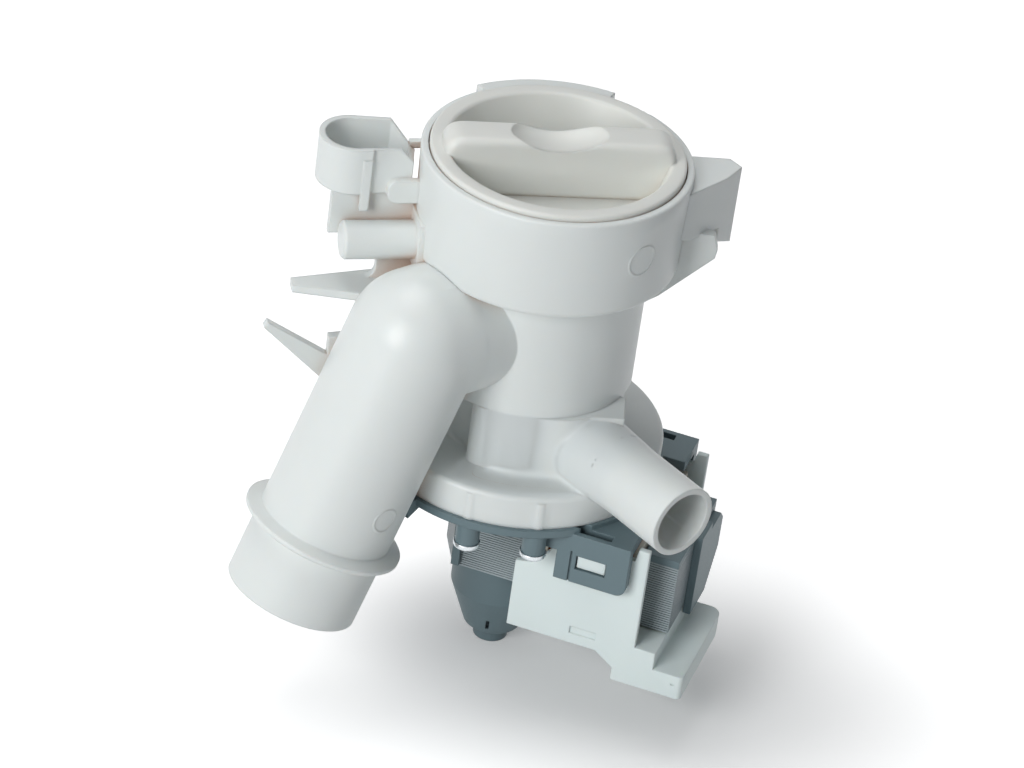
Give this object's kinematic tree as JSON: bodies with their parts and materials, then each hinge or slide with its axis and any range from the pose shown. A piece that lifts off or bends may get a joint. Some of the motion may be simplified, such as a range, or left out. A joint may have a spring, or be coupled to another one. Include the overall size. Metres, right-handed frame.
{
  "type": "washer drain pump",
  "caption": "Washing machine drain pump: white filter housing with screw-in cap, sump inlet elbow, outlet nozzle, and a synchronous motor with open stator and coil cover",
  "frame": {"origin": "centre of the flat end of the motor's bearing nose, on the pump axis", "axes": "+Z along the pump axis from the motor to the filter cap; +X roughly towards the stator's far end; the inlet elbow lies towards -X and -Y"},
  "size_m": [0.144, 0.1095, 0.1751],
  "materials": {
    "white_housing_plastic": "satin moulded polypropylene",
    "white_cap_plastic": "satin moulded polypropylene",
    "natural_nylon": "moulded nylon",
    "black_rubber": "matt",
    "black_impeller_plastic": "matt moulded",
    "shaft_steel": "ground",
    "ferrite_magnet": "sintered",
    "sintered_bearing_bronze": "sintered",
    "grey_nylon": "satin glass-filled nylon",
    "zinc_screw_steel": "zinc plated",
    "laminated_steel": "sheared sheet edges, oiled",
    "copper_wire": "enamelled",
    "pale_cover_plastic": "satin moulded",
    "tinned_brass": "tin plated"
  },
  "bodies": {
    "root": {"pump_housing": "white_housing_plastic", "sump_inlet": "white_housing_plastic", "outlet_nozzle": "white_housing_plastic", "hose_clip": "white_housing_plastic", "guide_prongs": "white_housing_plastic", "mounting_wing": "white_housing_plastic", "rotor_cover": "grey_nylon", "front_bearing": "sintered_bearing_bronze", "front_bearing_mount": "black_rubber", "rear_bearing": "sintered_bearing_bronze", "rear_bearing_mount": "black_rubber", "motor_frame": "grey_nylon", "housing_seal": "black_rubber", "housing_screws": "zinc_screw_steel", "stator_core": "laminated_steel", "stator_yoke": "laminated_steel", "coil_bobbin_front": "natural_nylon", "coil_bobbin_rear": "natural_nylon", "coil_winding_front": "copper_wire", "coil_winding_rear": "copper_wire", "coil_cover": "pale_cover_plastic", "terminal_block": "grey_nylon", "terminal_blades": "tinned_brass"},
    "strainer": {"lint_filter": "white_cap_plastic"},
    "cap": {"filter_cap": "white_cap_plastic", "cap_seal": "black_rubber"},
    "rotor": {"rotor_shaft": "shaft_steel", "rotor_magnet": "ferrite_magnet", "drive_dog": "natural_nylon"},
    "impeller": {"impeller": "black_impeller_plastic"}
  },
  "joints": [
    {"name": "filter_pull", "type": "slide", "parent": "root", "child": "strainer", "axis": [0, 0, 1], "range_m": [0, 0.075]},
    {"name": "cap_turn", "type": "hinge", "parent": "strainer", "child": "cap", "pos_m": [0, 0, 0.16], "axis": [0, 0, 1], "range_deg": [0, 90]},
    {"name": "rotor_spin", "type": "hinge", "parent": "root", "child": "rotor", "pos_m": [0, 0, 0.045], "axis": [0, 0, 1], "continuous": true},
    {"name": "impeller_play", "type": "hinge", "parent": "rotor", "child": "impeller", "pos_m": [0, 0, 0.085], "axis": [0, 0, 1], "range_deg": [-228, 0]}
  ]
}
